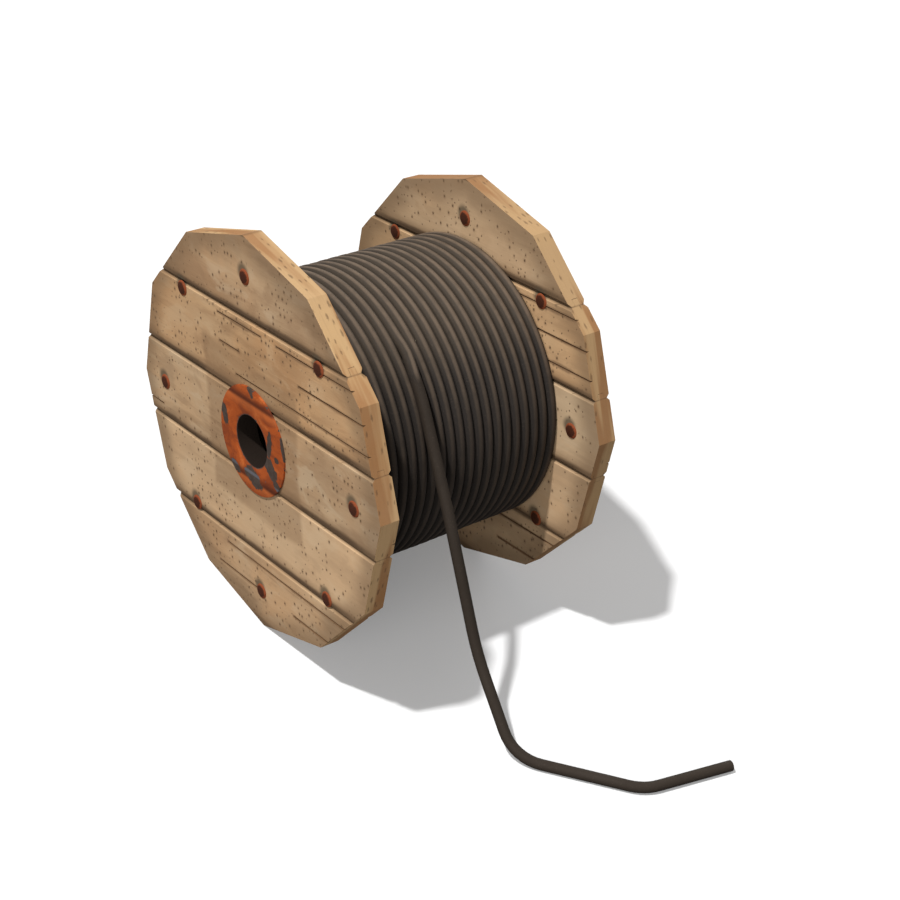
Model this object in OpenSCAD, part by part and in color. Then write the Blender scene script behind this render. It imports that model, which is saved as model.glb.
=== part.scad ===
// Wooden cable reel with a full winding and one loose cable tail.
// Units are mm, +Z is up, the reel's axis lies along X and the floor is z = 0.

/* [Flanges] */
// Flange width across its corners
flange_d = 630; // [600:5:660]
// Board thickness
board_t = 31; // [26:1:36]
// Clear width between the flanges
inside_w = 354; // [320:2:390]

/* [Board joints] */
// Chamfer of the V joint on both faces
v_joint = 4.5; // [2:0.5:6]
// Tongue thickness
tongue_w = 10; // [7:1:12]
// Tongue height
tongue_h = 8; // [5:1:10]

/* [Hub] */
// Spindle bore radius
bore_r = 40; // [30:1:42]
// Wall of the bush's sleeve
sleeve_wall = 5; // [3:0.5:6]
// Radius of the bush's ring plate
ring_r = 85; // [70:1:95]
// Thickness of the ring plate
ring_t = 3; // [2:0.5:5]

/* [Rivets] */
// Distance of the rivets from the circle through the flange's corners
rivet_inset = 61.5; // [55:0.5:70]
// Rivet head radius
head_r = 12; // [9:0.5:14]
// Rivet head height
head_h = 3.5; // [2.5:0.5:6]
// Rivet shank radius
shank_r = 5; // [4:0.5:6]

/* [Barrel] */
// Barrel radius at the staves' corners
core_r = 157.5; // [130:0.5:190]
// Stave thickness
stave_t = 20; // [14:1:26]
// Depth that the staves are let into the flanges
let_in = 6; // [3:1:10]

/* [Cable] */
// Cable diameter
cable_d = 16.8; // [14:0.2:18]
// Least free space between the winding and the rivet heads
free_margin = 12; // [5:1:16]
// Height above level at which the tail leaves the winding, in degrees
exit_a = 36; // [30:1:42]
// Bend radius of the tail on the floor
bend_r = 75; // [72:1:90]

/* [Hidden] */
sides = 12;
boards = 5;
rivets = 8;
staves = 12;
seat = 0.2;
exit_turn = 8;
lie_a = 14;
run_in = [25, 18, 0];
tail_straight = 150;
sag_at = [-5, 114, 114];
run_1 = [134, -140, 0];
run_2 = [147, -30, 0];
tail_sides = 10;

flange_r = flange_d / 2;
rest_turn = -180 / sides;
axis_h = flange_r * cos(180 / sides);
inner_x = inside_w / 2;
outer_x = inner_x + board_t;
board_w = flange_d / boards;
rivet_r = flange_r - rivet_inset;
sleeve_r = bore_r + sleeve_wall;
stave_r = core_r - seat;
stave_in_r = stave_r - stave_t / cos(180 / staves);
turns = floor(inside_w / cable_d);
pitch = inside_w / turns;
layers = floor((rivet_r - head_r - free_margin - core_r) / cable_d);
wind_r = core_r + layers * cable_d;
wind_c = wind_r - cable_d / 2;

wood = [0.74, 0.60, 0.44];
stave_wood = [0.70, 0.56, 0.40];
rust = [0.42, 0.20, 0.12];
paint = [0.69, 0.32, 0.14];
sheath = [0.21, 0.18, 0.16];

board_names = [for (s = ["left", "right"]) for (i = [1:boards]) str(s, "_board_", i)];
rivet_names = [for (s = ["left", "right"]) for (i = [1:rivets]) str(s, "_rivet_", i)];
stave_names = [for (i = [1:staves]) str("stave_", i)];

// The reel rests on a flat of its flanges, half a side round from board-level.
module on_floor() {
    translate([0, 0, axis_h]) rotate([rest_turn, 0, 0]) children();
}

// Turns a profile drawn as (radius, distance along the axis) about the reel's axis.
module turned(points) {
    rotate([0, 90, 0]) rotate_extrude($fn = 96) polygon(points);
}

// Extrudes a shape drawn across the axis along X.
module along_x(length) {
    rotate([0, 90, 0]) linear_extrude(height = length) children();
}

function ngon(n, r, start) = [for (k = [0:n - 1]) r * [cos(start + k * 360 / n), sin(start + k * 360 / n)]];
function reversed(v) = [for (k = [len(v) - 1:-1:0]) v[k]];

// One edge of a board's section, from the outer face to the inner face.
// kind 1 is a tongue, -1 a groove and 0 plain; way is 1 for the upper edge and -1 for the lower.
function board_edge(kind, z, way) =
    kind == 0 ? [[0, z], [board_t, z]]
    : let (w = tongue_w / 2 + (kind < 0 ? seat : 0),
           h = way * (kind > 0 ? tongue_h : -tongue_h - seat),
           c = way * v_joint)
      [[0, z - c], [v_joint, z], [board_t / 2 - w, z], [board_t / 2 - w, z + h],
       [board_t / 2 + w, z + h], [board_t / 2 + w, z], [board_t - v_joint, z], [board_t, z - c]];

// The middle board has two tongues, and the tongues point away from it on both sides.
function upper_kind(i) = let (m = (boards + 1) / 2) i == 1 ? 0 : i <= m ? 1 : -1;
function lower_kind(i) = let (m = (boards + 1) / 2) i == boards ? 0 : i >= m ? 1 : -1;
function upper_z(i) = flange_r - (i - 1) * board_w + (i == 1 ? 1 : -seat / 2);
function lower_z(i) = flange_r - i * board_w + (i == boards ? -1 : seat / 2);

module board_section(i) {
    polygon(concat(board_edge(upper_kind(i), upper_z(i), 1),
                   reversed(board_edge(lower_kind(i), lower_z(i), -1))));
}

module rivet_holes() {
    for (k = [0:rivets - 1])
        rotate([k * 360 / rivets, 0, 0])
            translate([-1, 0, rivet_r])
                rotate([0, 90, 0]) cylinder(h = board_t + 2, r = shank_r + seat, $fn = 48);
}

// The groove that the staves' ends stand in, cut from the inner face.
module stave_groove() {
    translate([board_t - let_in, 0, 0]) along_x(let_in + 1)
        difference() {
            polygon(ngon(staves, stave_r + seat, 0));
            polygon(ngon(staves, stave_in_r - seat, 0));
        }
}

// A board with its outer face at x = 0, before it is put on its side of the reel.
module board(i) {
    color(wood) difference() {
        intersection() {
            along_x(board_t) polygon(ngon(sides, flange_r, 0));
            rotate([90, 0, 0]) linear_extrude(height = flange_d + 2, center = true) board_section(i);
        }
        rivet_holes();
        stave_groove();
        translate([-1, 0, 0]) along_x(board_t + 2) circle(r = sleeve_r, $fn = 96);
    }
}

module left_board(i) {
    on_floor() translate([-outer_x, 0, 0]) board(i);
}

module right_board(i) {
    on_floor() translate([outer_x, 0, 0]) mirror([1, 0, 0]) board(i);
}

function head_points(x, way) =
    [[0, x + way * head_h], [head_r * 0.45, x + way * head_h * 0.93], [head_r * 0.8, x + way * head_h * 0.66],
     [head_r, x + way * head_h * 0.2], [head_r, x], [shank_r, x]];

module rivet(k) {
    color(rust) rotate([(k - 1) * 360 / rivets, 0, 0]) translate([0, 0, rivet_r])
        turned(concat(head_points(0, -1), reversed(head_points(board_t, 1))));
}

module left_rivet(k) {
    on_floor() translate([-outer_x, 0, 0]) rivet(k);
}

module right_rivet(k) {
    on_floor() translate([outer_x, 0, 0]) mirror([1, 0, 0]) rivet(k);
}

module bush() {
    color(paint) turned([[bore_r, -ring_t], [ring_r - ring_t / 3, -ring_t], [ring_r, -ring_t * 2 / 3],
                         [ring_r, 0], [sleeve_r, 0], [sleeve_r, board_t], [bore_r, board_t]]);
}

module left_bush() {
    on_floor() translate([-outer_x, 0, 0]) bush();
}

module right_bush() {
    on_floor() translate([outer_x, 0, 0]) mirror([1, 0, 0]) bush();
}

module stave(k) {
    half = 180 / staves - 0.04;
    mid = (k - 0.5) * 360 / staves;
    color(stave_wood) on_floor() translate([-inner_x - let_in, 0, 0])
        along_x(inside_w + 2 * let_in)
            polygon([for (p = [[stave_in_r, -half], [stave_r, -half], [stave_r, half], [stave_in_r, half]])
                     p[0] * [cos(mid + p[1]), sin(mid + p[1])]]);
}

// The layers are one turned solid, and the outer layer's turns stand out of it as ridges.
module cable_winding() {
    length = inside_w - seat;
    color(sheath) on_floor() rotate([0, 90, 0]) rotate_extrude($fn = 180)
        intersection() {
            translate([0, -length / 2]) square([wind_r + 1, length]);
            union() {
                translate([core_r, -inside_w / 2]) square([layers * cable_d - cable_d / 2 + 3, inside_w]);
                for (k = [0:turns - 1])
                    translate([wind_c, (k + 0.5) * pitch - inside_w / 2]) circle(d = cable_d, $fn = 48);
            }
        }
}

function unit(v) = v / norm(v);

// An arc that rounds corner b of the route a, b, c.
function bend(a, b, c, r, n) =
    let (u = unit(a - b), w = unit(c - b), half = acos(u * w) / 2,
         mid = b + unit(u + w) * r / sin(half),
         e = unit(b + u * r / tan(half) - mid))
    [for (k = [0:n]) let (q = (180 - 2 * half) * k / n) mid + r * (cos(q) * e - sin(q) * u)];

// A straight run cut into n equal steps, without its last point.
function run(a, b, n) = [for (k = [0:n - 1]) a + (b - a) * k / n];

// The tail lies in the groove between two turns, leaves the winding straight, sags and runs over the floor.
lie_r = wind_c + sqrt(pow(cable_d, 2) - pow(pitch / 2, 2)) + 2 * seat;
function tail_at(a) = [(exit_turn - 1) * pitch - inner_x, -lie_r * cos(a), axis_h + lie_r * sin(a)];
tail_lie = [for (k = [0:5]) tail_at(exit_a + lie_a * (1 - k / 5))];
tail_from = tail_at(exit_a);
tail_drop = tail_from[2] - cable_d / 2;
tail_off = tail_from + tail_straight * [0, -sin(exit_a), -cos(exit_a)];
tail_foot = tail_from + run_in - tail_drop * [0, tan(exit_a), 1];
tail_sag = tail_foot + sag_at;
tail_knee = tail_foot + run_1;
tail_end = tail_knee + run_2;
off_bend = bend(tail_from, tail_off, tail_sag, 5 * bend_r, 2);
sag_bend = bend(tail_off, tail_sag, tail_foot, 3 * bend_r, 3);
foot_bend = bend(tail_sag, tail_foot, tail_knee, bend_r, 6);
knee_bend = bend(tail_foot, tail_knee, tail_end, bend_r, 4);
tail_route = concat(tail_lie, run(tail_from, off_bend[0], 2), off_bend,
                    run(off_bend[2], sag_bend[0], 4), sag_bend,
                    run(sag_bend[3], foot_bend[0], 3), foot_bend,
                    run(foot_bend[6], knee_bend[0], 3), knee_bend,
                    run(knee_bend[4], tail_end, 3), [tail_end]);
tail_points = [for (k = [0:len(tail_route) - 1])
               if (k == 0 || norm(tail_route[k] - tail_route[k - 1]) > 0.01) tail_route[k]];

function heading(p, k) = unit(p[min(k + 1, len(p) - 1)] - p[max(k - 1, 0)]);
function square_to(v, h) = unit(v - h * (v * h));
function sides_of(p, k, v) = let (s = square_to(v, heading(p, k)))
    k == len(p) - 1 ? [s] : concat([s], sides_of(p, k + 1, s));

// A tube of the given radius along the points of a route.
module tube(p, r, n) {
    side = sides_of(p, 0, [1, 0, 0]);
    rings = [for (k = [0:len(p) - 1]) let (h = heading(p, k), s = side[k], b = cross(h, s))
             for (j = [0:n - 1]) p[k] + r * (cos(j * 360 / n) * s + sin(j * 360 / n) * b)];
    last = (len(p) - 1) * n;
    walls = [for (k = [0:len(p) - 2]) for (j = [0:n - 1]) let (a = k * n + j, b = k * n + (j + 1) % n)
             each [[a, a + n, b], [b, a + n, b + n]]];
    polyhedron(points = rings, faces = concat([[for (j = [0:n - 1]) j]], walls,
                                              [[for (j = [n - 1:-1:0]) last + j]]));
}

module cable_tail() {
    color(sheath) tube(tail_points, cable_d / 2, tail_sides);
}

for (i = [1:boards]) {
    left_board(i);
    right_board(i);
}
for (k = [1:rivets]) {
    left_rivet(k);
    right_rivet(k);
}
for (k = [1:staves]) {
    stave(k);
}
left_bush();
right_bush();
cable_winding();
cable_tail();
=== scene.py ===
"""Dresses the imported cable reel: worn boards, rivets, chipped bushes, cable turns and the loose tail."""

import random
from math import acos, cos, floor, pi, radians, sin, sqrt, tan

import bpy
from mathutils import Matrix, Vector


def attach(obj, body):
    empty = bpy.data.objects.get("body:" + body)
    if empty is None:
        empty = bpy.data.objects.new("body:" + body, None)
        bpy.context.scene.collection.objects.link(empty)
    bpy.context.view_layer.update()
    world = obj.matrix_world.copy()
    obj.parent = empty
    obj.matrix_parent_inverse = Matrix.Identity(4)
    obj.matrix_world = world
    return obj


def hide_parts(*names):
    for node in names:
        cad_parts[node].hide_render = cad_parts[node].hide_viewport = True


bl_info = {
    "name": "Cable Reel",
    "version": (1, 0, 0),
    "blender": (4, 5, 0),
    "location": "3D View > Sidebar > Reel",
    "description": "Models and finishes a wooden cable reel on its packed frame",
    "category": "Object",
}

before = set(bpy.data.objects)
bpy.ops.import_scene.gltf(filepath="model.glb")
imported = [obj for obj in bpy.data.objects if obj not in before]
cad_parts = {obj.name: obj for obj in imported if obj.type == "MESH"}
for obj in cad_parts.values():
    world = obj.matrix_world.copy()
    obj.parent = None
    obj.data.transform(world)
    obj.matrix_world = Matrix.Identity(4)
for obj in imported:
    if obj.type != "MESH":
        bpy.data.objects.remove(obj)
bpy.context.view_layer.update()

BODY = "root"
SIDES = ("left", "right")
BOARDS = range(1, 6)
RIVETS = range(1, 9)
STAVES = range(1, 13)

# The same sizes as the part's source, in metres.
FLANGE_R = 0.315
APOTHEM = FLANGE_R * cos(pi / 12)
BOARD_T = 0.031
INNER_X = 0.177
OUTER_X = INNER_X + BOARD_T
BOARD_W = 2 * FLANGE_R / 5
RIVET_R = FLANGE_R - 0.0615
SHANK_R = 0.005
CORE_R = 0.1575
BORE_R, SLEEVE_R, RING_R, RING_T = 0.040, 0.045, 0.085, 0.003
CABLE_D = 0.0168
TURNS = 21
PITCH = 2 * INNER_X / TURNS
LAY_R = CORE_R + 3.5 * CABLE_D
REST_TURN = radians(-15)
AXIS_H = FLANGE_R * cos(REST_TURN)
EXIT_SLOT = 7
EXIT_ANGLE, TOP_ANGLE = radians(36), radians(50)
LIE_R = LAY_R + sqrt(CABLE_D**2 - PITCH**2 / 4) + 0.0004

# Vertices closer than this are one.
WELD = 0.00002

# Board-level places to places on the floor, where the reel has rolled on to a flat.
TO_FLOOR = Matrix.Translation((0, 0, AXIS_H)) @ Matrix.Rotation(REST_TURN, 4, "X")


def slot_x(k):
    """Middle of a turn's slot along the reel's axis."""
    return (k + 0.5) * PITCH - INNER_X


def on_lay(x, r, angle):
    """A place on the winding; the angle is above level on the side where the tail lies."""
    return Vector((x, -r * cos(angle), AXIS_H + r * sin(angle)))


# The tail's route, as in the part's source.
TAIL_X = EXIT_SLOT * PITCH - INNER_X
TAIL_FROM = on_lay(TAIL_X, LIE_R, EXIT_ANGLE)
TAIL_OFF = TAIL_FROM + 0.150 * Vector((0, -sin(EXIT_ANGLE), -cos(EXIT_ANGLE)))
TAIL_DROP = TAIL_FROM.z - CABLE_D / 2
TAIL_FOOT = TAIL_FROM + Vector((0.025, 0.018, 0)) - TAIL_DROP * Vector((0, tan(EXIT_ANGLE), 1))
TAIL_SAG = TAIL_FOOT + Vector((-0.005, 0.114, 0.114))
TAIL_KNEE = TAIL_FOOT + Vector((0.134, -0.140, 0))
TAIL_END = TAIL_KNEE + Vector((0.147, -0.030, 0))
TAIL_BENDS = ((TAIL_OFF, 0.375, 3), (TAIL_SAG, 0.225, 4), (TAIL_FOOT, 0.075, 8), (TAIL_KNEE, 0.075, 6))


def size_property(name, description, default, **kind):
    """A size or a strength that a user may change."""
    return bpy.props.FloatProperty(name=name, description=description, default=default, **kind)


class ReelSizes(bpy.types.PropertyGroup):
    """Sizes of the finish that a user may change."""

    arris: size_property("Arris", "Width of the worn board edges", 0.0014, unit="LENGTH")
    head_r: size_property("Head radius", "Radius of a rivet head", 0.012, unit="LENGTH")
    head_h: size_property("Head height", "Height of a rivet head", 0.0035, unit="LENGTH")
    lay_stray: size_property("Lay stray", "How far a turn strays from its slot", 0.0003, unit="LENGTH")
    sun_angle: size_property("Sun angle", "Softness of the main shadow", radians(2.5), subtype="ANGLE")
    sun_strength: size_property("Sun strength", "Strength of the main light", 3.15)
    fill_power: size_property("Fill power", "Power of the soft light from the left", 42.0, unit="POWER")
    sky_strength: size_property("Sky strength", "Strength of the even light", 0.24)


def colour_property(name, description, default):
    """A linear colour that a user may change."""
    return bpy.props.FloatVectorProperty(
        name=name, description=description, default=default, size=3, min=0, max=1, subtype="COLOR"
    )


class ReelColours(bpy.types.PropertyGroup):
    """Colours of the finishes."""

    face_tan: colour_property("Face", "Weathered board face", (0.52, 0.318, 0.168))
    face_grey: colour_property("Face grey", "Greyer parts of the boards", (0.46, 0.310, 0.181))
    # Also the painted shade on the right flange's rim.
    face_brown: colour_property("Face brown", "Dark grain and dirt of the boards", (0.22, 0.128, 0.066))
    # Also pale grain; on the lower lips of the joints this colour is a painted highlight.
    face_pale: colour_property("Face pale", "Rubbed lower lips of the board joints", (0.60, 0.41, 0.235))
    split: colour_property("Split", "Inside of the splits", (0.17, 0.096, 0.048))
    rim_pale: colour_property("Rim", "Cut rim of the boards", (0.59, 0.376, 0.184))
    rim_warm: colour_property("Rim warm", "Warmer streaks of the rim", (0.375, 0.183, 0.073))
    rust_dark: colour_property("Rust dark", "Middle of the rivet heads", (0.050, 0.0155, 0.0075))
    rust_pale: colour_property("Rust pale", "Edge of the rivet heads", (0.24, 0.060, 0.022))
    paint: colour_property("Paint", "Paint of the bushes", (0.362, 0.0745, 0.0150))
    chip: colour_property("Chip", "Bare steel in the chips", (0.054, 0.038, 0.030))
    sheath: colour_property("Sheath", "Cable sheath", (0.034, 0.0255, 0.019))
    # Also paints the highlights on the crests of the winding's turns.
    dust: colour_property("Dust", "Dust on the cable", (0.196, 0.143, 0.102))
    floor: colour_property("Floor", "Studio floor", (0.74, 0.74, 0.74))


def sizes():
    return bpy.context.scene.reel_sizes


def colours():
    return bpy.context.scene.reel_colours


# Modelling


def deselect():
    if bpy.context.object and bpy.context.object.mode != "OBJECT":
        bpy.ops.object.mode_set(mode="OBJECT")
    bpy.ops.object.select_all(action="DESELECT")


def pick(obj):
    """Makes one object the only selected one."""
    deselect()
    obj.select_set(True)
    bpy.context.view_layer.objects.active = obj


def apply_modifiers(obj):
    pick(obj)
    for modifier in list(obj.modifiers):
        bpy.ops.object.modifier_apply(modifier=modifier.name)


def smooth(obj, angle=35):
    pick(obj)
    bpy.ops.object.shade_smooth_by_angle(angle=radians(angle))


def joined(objects):
    """Joins objects into the first of them."""
    deselect()
    for obj in objects:
        obj.select_set(True)
    bpy.context.view_layer.objects.active = objects[0]
    bpy.ops.object.join()
    return bpy.context.object


def on_flange(side):
    """From a piece on the outer face of the left flange, with X inwards, to the same on either one."""
    if side == "left":
        return TO_FLOOR @ Matrix.Translation((-OUTER_X, 0, 0))
    return TO_FLOOR @ Matrix.Translation((OUTER_X, 0, 0)) @ Matrix.Scale(-1, 4, (1, 0, 0))


def finish_piece(obj, material, slot, *nodes):
    """Gives a piece its finish and its body, and hides the solids that it stands for."""
    if material:
        obj.data.materials.clear()
        obj.data.materials.append(material)
    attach(obj, BODY)
    if nodes:
        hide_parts(*nodes)


def clean(obj, dissolve, **limit):
    """Merges the vertices of a mesh that are one, and dissolves what lies within a limit."""
    pick(obj)
    bpy.ops.object.mode_set(mode="EDIT")
    bpy.ops.mesh.select_all(action="SELECT")
    bpy.ops.mesh.remove_doubles(threshold=WELD)
    dissolve(**limit)
    bpy.ops.object.mode_set(mode="OBJECT")


def copy_of(node, name):
    """A merged copy of a solid, with its flat faces in one piece each."""
    obj = bpy.data.objects.new(name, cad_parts[node].data.copy())
    bpy.context.scene.collection.objects.link(obj)
    obj.data.materials.clear()
    clean(obj, bpy.ops.mesh.dissolve_limited, angle_limit=radians(0.5))
    return obj


def turned(name, stations, count, closed=False):
    """A piece turned about X by extruding a ring through stations of (place along X, radius)."""
    deselect()
    (x, r), rest = stations[0], stations[1:]
    bpy.ops.mesh.primitive_circle_add(
        vertices=count, radius=r, location=(x, 0, 0), rotation=(0, pi / 2, 0)
    )
    obj = bpy.context.object
    obj.name = obj.data.name = name
    bpy.ops.object.transform_apply(location=True, rotation=True, scale=True)
    bpy.ops.object.mode_set(mode="EDIT")
    bpy.ops.mesh.select_all(action="SELECT")
    if not closed:
        bpy.ops.mesh.edge_face_add()
        bpy.ops.mesh.select_mode(type="EDGE")
        bpy.ops.mesh.select_all(action="SELECT")
    for next_x, next_r in rest:
        bpy.ops.mesh.extrude_edges_move(TRANSFORM_OT_translate={"value": (next_x - x, 0, 0)})
        scale = next_r / r
        bpy.ops.transform.resize(value=(1, scale, scale), center_override=(next_x, 0, 0))
        x, r = next_x, next_r
    if not closed:
        bpy.ops.mesh.edge_face_add()
    bpy.ops.mesh.select_all(action="SELECT")
    bpy.ops.mesh.remove_doubles(threshold=WELD / 2)
    bpy.ops.mesh.normals_make_consistent(inside=False)
    bpy.ops.object.mode_set(mode="OBJECT")
    return obj


def placed_copy(obj, name, matrix):
    """A copy with its own mesh, put in place in its mesh; a mirrored one keeps its faces outwards."""
    copy = bpy.data.objects.new(name, obj.data.copy())
    bpy.context.scene.collection.objects.link(copy)
    copy.data.transform(matrix)
    if matrix.determinant() < 0:
        copy.data.flip_normals()
    return copy


def tube(name, paths, sides):
    """A mesh tube of the cable's width along each path."""
    deselect()
    curve = bpy.data.curves.new(name, "CURVE")
    curve.dimensions = "3D"
    curve.bevel_depth = CABLE_D / 2
    curve.bevel_resolution = sides
    curve.use_fill_caps = True
    for path in paths:
        spline = curve.splines.new("POLY")
        spline.points.add(len(path) - 1)
        for point, place in zip(spline.points, path):
            point.co = (*place, 1)
        spline.use_smooth = True
    obj = bpy.data.objects.new(name, curve)
    bpy.context.scene.collection.objects.link(obj)
    return obj


def as_mesh(obj):
    pick(obj)
    bpy.ops.object.convert(target="MESH")
    return bpy.context.object


# Shading


class Shading:
    """Short words for the nodes of one material or group."""

    def __init__(self, tree):
        self.tree = tree

    def add(self, kind, **settings):
        node = self.tree.nodes.new(kind)
        for key, value in settings.items():
            setattr(node, key, value)
        return node

    def put(self, socket, value):
        if isinstance(value, bpy.types.NodeSocket):
            self.tree.links.new(value, socket)
        elif value is not None:
            socket.default_value = value

    def math(self, operation, a, b=None, c=None):
        node = self.add("ShaderNodeMath", operation=operation)
        for socket, value in zip(node.inputs, (a, b, c)):
            self.put(socket, value)
        return node.outputs[0]

    def vector(self, operation, a, b=None):
        node = self.add("ShaderNodeVectorMath", operation=operation)
        for socket, value in zip(node.inputs, (a, b)):
            self.put(socket, value)
        return node.outputs[0]

    def split(self, vector):
        node = self.add("ShaderNodeSeparateXYZ")
        self.put(node.inputs[0], vector)
        return node.outputs[0], node.outputs[1], node.outputs[2]

    def join(self, x, y, z):
        node = self.add("ShaderNodeCombineXYZ")
        for socket, value in zip(node.inputs, (x, y, z)):
            self.put(socket, value)
        return node.outputs[0]

    def noise(self, vector, scale, detail=3.0, roughness=0.5, distortion=0.0):
        node = self.add("ShaderNodeTexNoise")
        for key, value in (
            ("Vector", vector),
            ("Scale", scale),
            ("Detail", detail),
            ("Roughness", roughness),
            ("Distortion", distortion),
        ):
            self.put(node.inputs[key], value)
        return node.outputs[0]

    def step(self, value, low, high, to_low=0.0, to_high=1.0):
        """A soft step of value from low to high."""
        node = self.add("ShaderNodeMapRange", interpolation_type="SMOOTHSTEP")
        for socket, given in zip(node.inputs, (value, low, high, to_low, to_high)):
            self.put(socket, given)
        return node.outputs[0]

    def mix(self, factor, a, b):
        node = self.add("ShaderNodeMix", data_type="RGBA")
        for index, value in ((0, factor), (6, a), (7, b)):
            if isinstance(value, (tuple, list)) or hasattr(value, "r"):
                value = (*value, 1) if len(value) == 3 else value
            self.put(node.inputs[index], value)
        return node.outputs[2]

    def stain(self, colour, value, low, high, share, other):
        """Mixes a share of another colour in where value goes from low to high."""
        return self.mix(self.step(value, low, high, 0.0, share), colour, other)

    def use(self, group, **values):
        node = self.add("ShaderNodeGroup", node_tree=group)
        for key, value in values.items():
            self.put(node.inputs[key], value)
        return node.outputs

    def bump(self, height, strength, distance):
        node = self.add("ShaderNodeBump")
        self.put(node.inputs["Strength"], strength)
        self.put(node.inputs["Distance"], distance)
        self.put(node.inputs["Height"], height)
        return node.outputs[0]

    def surface(self, colour, roughness, normal=None, metallic=0.0, specular=0.35):
        shader = self.add("ShaderNodeBsdfPrincipled")
        for key, value in (
            ("Base Color", colour),
            ("Roughness", roughness),
            ("Metallic", metallic),
            ("Specular IOR Level", specular),
            ("Normal", normal),
        ):
            self.put(shader.inputs[key], value)
        output = self.add("ShaderNodeOutputMaterial")
        self.tree.links.new(shader.outputs[0], output.inputs[0])
        return shader


def new_material(name):
    material = bpy.data.materials.new(name)
    material.use_nodes = True
    material.node_tree.nodes.clear()
    return material, Shading(material.node_tree)


def shared_group(name, inputs, outputs):
    """Turns a function that fills a node group into one that gives the group, made only once."""

    def wrap(fill):
        def give():
            tree = bpy.data.node_groups.get(name)
            if tree:
                return tree
            tree = bpy.data.node_groups.new(name, "ShaderNodeTree")
            for way, sockets in (("INPUT", inputs), ("OUTPUT", outputs)):
                for socket in sockets:
                    kind = "NodeSocketVector" if socket == "Place" else "NodeSocketFloat"
                    tree.interface.new_socket(name=socket, in_out=way, socket_type=kind)
            s = Shading(tree)
            fill(s, s.add("NodeGroupInput").outputs, s.add("NodeGroupOutput").inputs)
            return tree

        return give

    return wrap


@shared_group("Reel place", (), ("Place",))
def reel_place(s, given, out):
    """Places with the boards level and the reel's middle at the origin."""
    mapping = s.add("ShaderNodeMapping")
    mapping.inputs["Rotation"].default_value = (-REST_TURN, 0, 0)
    mapping.inputs["Location"].default_value = AXIS_H * Vector((0, -sin(REST_TURN), -cos(REST_TURN)))
    s.put(mapping.inputs["Vector"], s.add("ShaderNodeTexCoord").outputs["Object"])
    s.put(out["Place"], mapping.outputs[0])


@shared_group("Rivet distance", ("Place",), ("Distance",))
def rivet_distance(s, given, out):
    """How far a place is from the axis of the nearest of the eight rivets."""
    _, y, z = s.split(given["Place"])
    angle = s.math("ARCTAN2", z, y)
    eighth = pi / 4
    nearest = s.math("MULTIPLY", s.math("ROUND", s.math("DIVIDE", angle, eighth)), eighth)
    off = s.math("SUBTRACT", angle, nearest)
    r = from_axis(s, y, z)
    along = s.math("SUBTRACT", s.math("MULTIPLY", r, s.math("COSINE", off)), RIVET_R)
    across = s.math("MULTIPLY", r, s.math("SINE", off))
    s.put(out["Distance"], from_axis(s, along, across))


@shared_group("Timber", ("Place",), ("Bands", "Fibres"))
def timber(s, given, out):
    """Grain along Y: broad bands and fine fibres."""
    x, y, z = s.split(given["Place"])
    s.put(out["Bands"], s.noise(s.join(x, s.math("MULTIPLY", y, 0.10), z), 34, 4, 0.55, 0.5))
    s.put(out["Fibres"], s.noise(s.join(x, s.math("MULTIPLY", y, 0.03), z), 420, 3, 0.6))


@shared_group("Flecks", ("Place", "Size", "Few"), ("Mask", "Halo"))
def flecks(s, given, out):
    """Small dark marks in clusters over a board's face."""
    x, y, z = s.split(given["Place"])
    flat = s.join(s.math("MULTIPLY_ADD", x, 3.1, s.math("MULTIPLY", y, 1.25)), z, 0.0)
    rough = s.math("MULTIPLY", s.math("SUBTRACT", s.noise(flat, 900, 2), 0.5), 0.0035)
    bent = s.vector("ADD", flat, s.join(rough, s.math("MULTIPLY", rough, -0.8), 0.0))
    cells = s.add("ShaderNodeTexVoronoi", voronoi_dimensions="2D", feature="F1")
    s.put(cells.inputs["Vector"], bent)
    s.put(cells.inputs["Scale"], s.math("DIVIDE", 1.0, given["Size"]))
    chance, width, _ = s.split(cells.outputs["Color"])
    radius = s.math("MULTIPLY_ADD", width, 0.0011, 0.0008)
    away = s.math("MULTIPLY", cells.outputs["Distance"], given["Size"])
    spot = s.step(s.math("SUBTRACT", away, radius), -0.0008, 0.0008, 1, 0)
    crowd = s.noise(flat, 17, 2, 0.6)
    share = s.math("SUBTRACT", s.math("MULTIPLY_ADD", crowd, 3.0, chance), given["Few"])
    shown = s.step(share, 0.0, 0.08)
    s.put(out["Mask"], s.math("MULTIPLY", spot, shown))
    halo = s.math("MULTIPLY", s.step(away, 0.0015, 0.0058, 1, 0), s.step(width, 0.62, 0.72))
    s.put(out["Halo"], s.math("MULTIPLY", halo, shown))


@shared_group("Grime", ("Place", "Scale"), ("Mask",))
def grime(s, given, out):
    """Soft uneven patches from 0 to 1."""
    s.put(out["Mask"], s.step(s.noise(given["Place"], given["Scale"], 4, 0.6, 0.3), 0.32, 0.68))


# Splits along the grain as (start, end, place across the boards, width), with the boards level.
# Those that end past the outline run out through the rim.
SPLITS = (
    (0.0815, -0.0350, 0.1754, 0.0026),
    (0.0797, 0.0261, 0.1312, 0.0026),
    (-0.0740, -0.2600, 0.1746, 0.0028),
    (0.0383, -0.2960, 0.0924, 0.0030),
    (-0.1269, -0.2850, 0.1340, 0.0038),
    (0.3090, 0.2658, -0.0416, 0.0026),
    (0.0920, -0.2260, -0.2096, 0.0032),
    (0.1196, 0.0114, -0.2538, 0.0030),
    (-0.0874, -0.1820, -0.2543, 0.0040),
)


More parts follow.
